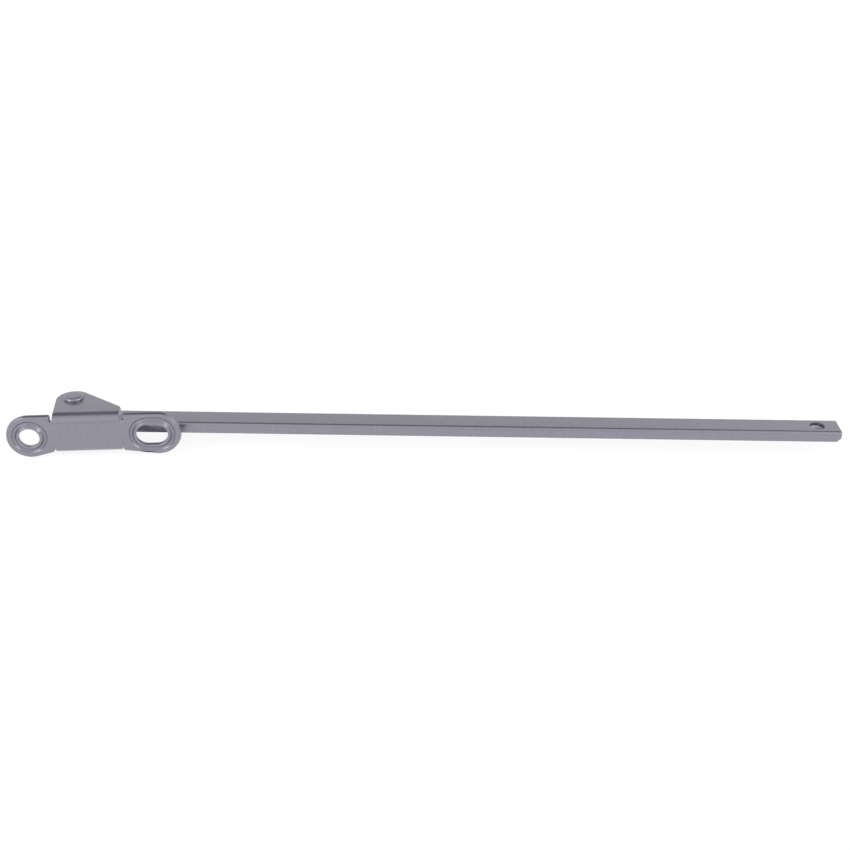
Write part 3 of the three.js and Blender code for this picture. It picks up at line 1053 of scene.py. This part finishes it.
@dataclass
class EndWeldNut:
    """Hexagon weld nut under the channel's web, with a cut thread and a countersunk mouth."""

    setting: Setting
    across_flats: float = 14.0
    mouth_radius: float = 5.1
    mouth_depth: float = 1.4
    major_radius: float = 3.95
    minor_radius: float = 3.3
    pitch: float = 1.25

    def thread(self, low: float, high: float) -> Shape:
        """A threaded rod that cuts the nut's bore.

        Args:
            low: where it starts.
            high: where it ends.

        Returns:
            The rod, closed at both ends.
        """
        rod = Shape()
        crest, root, pitch = self.major_radius, self.minor_radius, self.pitch
        start = low - 2 * pitch
        turns = math.ceil((high - start) / pitch) + 2
        section = [
            Corner(root, start), Corner(root, start + 0.2 * pitch), Corner(crest, start + 0.55 * pitch),
            Corner(crest, start + 0.65 * pitch), Corner(root, start + pitch)]
        edges = rod.path(section, lambda a, b: Vector((a, 0, b)), closed=False)
        steps = 40 * turns
        bmesh.ops.spin(
            rod.bm, geom=edges + list({v for e in edges for v in e.verts}), axis=(0, 0, 1), cent=(0, 0, 0),
            dvec=(0, 0, pitch * turns / steps), angle=math.tau * turns, steps=steps)
        rod.join()
        for level, normal in ((low, -1), (high, 1)):
            bmesh.ops.bisect_plane(
                rod.bm, geom=rod.bm.verts[:] + rod.bm.edges[:] + rod.bm.faces[:], dist=1e-5,
                plane_co=(0, 0, level), plane_no=(0, 0, normal), clear_outer=True)
            rim = [e for e in rod.bm.edges if all(abs(v.co.z - level) < 1e-4 for v in e.verts)]
            bmesh.ops.contextual_create(rod.bm, geom=rim)
        return rod

    def build(self) -> None:
        """Makes the nut."""
        low, high = low_mm("end_weld_nut").z, high_mm("end_weld_nut").z
        corner = self.across_flats / 2 / math.cos(math.pi / 6)
        nut = Shape()
        bmesh.ops.create_cone(
            nut.bm, cap_ends=True, segments=6, radius1=corner, radius2=corner, depth=high - low,
            matrix=Matrix.Translation((0, 0, (high + low) / 2)) @ Matrix.Rotation(math.pi / 6, 4, "Z"))
        bmesh.ops.bevel(
            nut.bm, geom=nut.bm.edges[:], offset=0.35, segments=3, profile=0.5, affect="EDGES", material=-1)
        nut.carve(self.thread(low - 1, high + 1))
        mouth = [
            Corner(0, high - self.mouth_depth), Corner(self.minor_radius, high - self.mouth_depth),
            Corner(self.mouth_radius, high), Corner(self.mouth_radius, high + 1), Corner(0, high + 1)]
        nut.carve(Shape().turned(mouth, Vector(), closed=False, steps=64))
        nut.move(self.setting.arm_to_frame() @ Matrix.Translation((self.setting.nut_reach, 0, 0)))
        nut.finish("end_weld_nut_tapped", Body.ARM, ["end_weld_nut"], Slot.ZINC, ZINC, crease=28)


# ---- studio ----


@dataclass
class Studio:
    """A plain pale floor with soft light."""

    setting: Setting
    floor_half: float = 14.0
    floor_colour: tuple = (0.16, 0.16, 0.161, 1)
    floor_light: tuple = (1.0, 1.0, 1.005, 1)
    floor_glow: float = 0.86
    wall_colour: tuple = (1.0, 1.0, 1.01, 1)
    ceiling_colour: tuple = (0.16, 0.16, 0.18, 1)
    ceiling_height: float = math.radians(65)
    skirting_colour: tuple = (0.76, 0.76, 0.77, 1)
    lamp_azimuth: float = math.radians(55)
    lamp_elevation: float = math.radians(28)
    lamp_distance: float = 1.6
    lamp_size: float = 0.7
    lamp_power: float = 5.0

    def build(self) -> None:
        """Makes the floor, the surroundings and the lamps."""
        self.build_floor()
        self.build_surroundings()
        middle = (CAD_BOX[0] + CAD_BOX[1]) / 2
        self.lamp("left_softbox", middle, -self.lamp_azimuth)
        self.lamp("right_softbox", middle, self.lamp_azimuth)

    def build_floor(self) -> None:
        """Lays the floor just under the object."""
        bm = bmesh.new()
        level = CAD_BOX[0].z - 0.0003
        bmesh.ops.create_grid(
            bm, x_segments=1, y_segments=1, size=self.floor_half, matrix=Matrix.Translation((0, 0, level)))
        mesh = bpy.data.meshes.new("floor")
        bm.to_mesh(mesh)
        bm.free()
        bench = Bench("floor_card")
        bench.surface(
            Base_Color=self.floor_colour, Roughness=0.9, Emission_Color=self.floor_light,
            Emission_Strength=self.floor_glow)
        mesh.materials.append(bench.material)
        floor = bpy.data.objects.new("floor", mesh)
        bpy.context.scene.collection.objects.link(floor)

    def build_surroundings(self) -> None:
        """Pale walls with a darker foot, and a darker ceiling that leans towards the back."""
        world = bpy.data.worlds.new("studio")
        bpy.context.scene.world = world
        world.use_nodes = True
        tree = world.node_tree
        place = tree.nodes.new("ShaderNodeTexCoord")
        lean = tree.nodes.new("ShaderNodeVectorMath")
        lean.operation = "DOT_PRODUCT"
        lean.inputs[1].default_value = (0, math.cos(self.ceiling_height), math.sin(self.ceiling_height))
        ramp = tree.nodes.new("ShaderNodeValToRGB")
        wall, ceiling = ramp.color_ramp.elements
        ramp.color_ramp.interpolation = "EASE"
        wall.position, wall.color = 0.80, self.wall_colour
        ceiling.position, ceiling.color = 0.93, self.ceiling_colour
        tree.links.new(place.outputs["Generated"], lean.inputs[0])
        tree.links.new(lean.outputs["Value"], ramp.inputs[0])
        height = tree.nodes.new("ShaderNodeSeparateXYZ")
        foot = tree.nodes.new("ShaderNodeValToRGB")
        low, high = foot.color_ramp.elements
        foot.color_ramp.interpolation = "EASE"
        low.position, low.color = 0.16, self.skirting_colour
        high.position, high.color = 0.30, (1, 1, 1, 1)
        shade = tree.nodes.new("ShaderNodeMix")
        shade.data_type, shade.blend_type = "RGBA", "MULTIPLY"
        shade.inputs["Factor"].default_value = 1.0
        tree.links.new(place.outputs["Generated"], height.inputs[0])
        tree.links.new(height.outputs["Z"], foot.inputs[0])
        tree.links.new(ramp.outputs["Color"], shade.inputs[6])
        tree.links.new(foot.outputs["Color"], shade.inputs[7])
        tree.links.new(shade.outputs[2], tree.nodes["Background"].inputs["Color"])

    def lamp(self, name: str, middle: Vector, azimuth: float) -> None:
        """Hangs a square softbox that faces the object.

        Args:
            name: the lamp's name.
            middle: the point that it faces.
            azimuth: angle round from the front, positive to the right.
        """
        light = bpy.data.lights.new(name, "AREA")
        light.shape, light.size, light.energy = "SQUARE", self.lamp_size, self.lamp_power
        lamp = bpy.data.objects.new(name, light)
        a, e = azimuth, self.lamp_elevation
        away = Vector((math.sin(a) * math.cos(e), -math.cos(a) * math.cos(e), math.sin(e)))
        lamp.location = middle + away * self.lamp_distance
        lamp.rotation_mode = "QUATERNION"
        lamp.rotation_quaternion = away.to_track_quat("Z", "Y")
        bpy.context.scene.collection.objects.link(lamp)


@dataclass
class Camera:
    """Looks down at the arm, square to its length."""

    setting: Setting
    elevation: float = math.radians(28.92)
    roll: float = math.radians(0.82)
    distance: float = 933.6
    reach: float = 256.2
    height: float = -2.15
    lens: float = 53.75

    def build(self) -> None:
        """Makes the camera and gives it to the scene."""
        turn = Matrix.Rotation(self.setting.arm_turn, 3, "Z")
        ahead = turn @ Vector((0, math.cos(self.elevation), -math.sin(self.elevation)))
        right = turn @ Vector((1, 0, 0))
        up = right.cross(ahead)
        level = Matrix.Rotation(self.roll, 3, -ahead)
        right, up = level @ right, level @ up
        target = self.setting.arm_to_frame() @ Vector((self.reach, 0, self.height))
        data = bpy.data.cameras.new("camera")
        data.lens, data.sensor_width, data.clip_start, data.clip_end = self.lens, 36, 0.01, 100
        camera = bpy.data.objects.new("camera", data)
        axes = Matrix((right, up, -ahead)).transposed().to_4x4()
        camera.matrix_world = Matrix.Translation((target - ahead * self.distance) * MM) @ axes
        bpy.context.scene.collection.objects.link(camera)
        bpy.context.scene.camera = camera


def main() -> None:
    """Builds the bracket, the arm, the studio and the camera."""
    logging.basicConfig(level=logging.INFO, format="%(name)s %(message)s")
    setting = Setting.from_frame()
    log.info("pivot %s, arm turned %.2f degrees", setting.pivot, math.degrees(setting.arm_turn))
    Camera(setting).build()
    bracket = HingeBracket(setting)
    bracket.build()
    bracket.build_rivet()
    PivotTube(setting).build()
    ArmChannel(setting).build()
    EndWeldNut(setting).build()
    Studio(setting).build()
    bpy.context.scene.view_settings.view_transform = "Standard"
    bpy.context.view_layer.update()


if __name__ == "__main__":
    main()
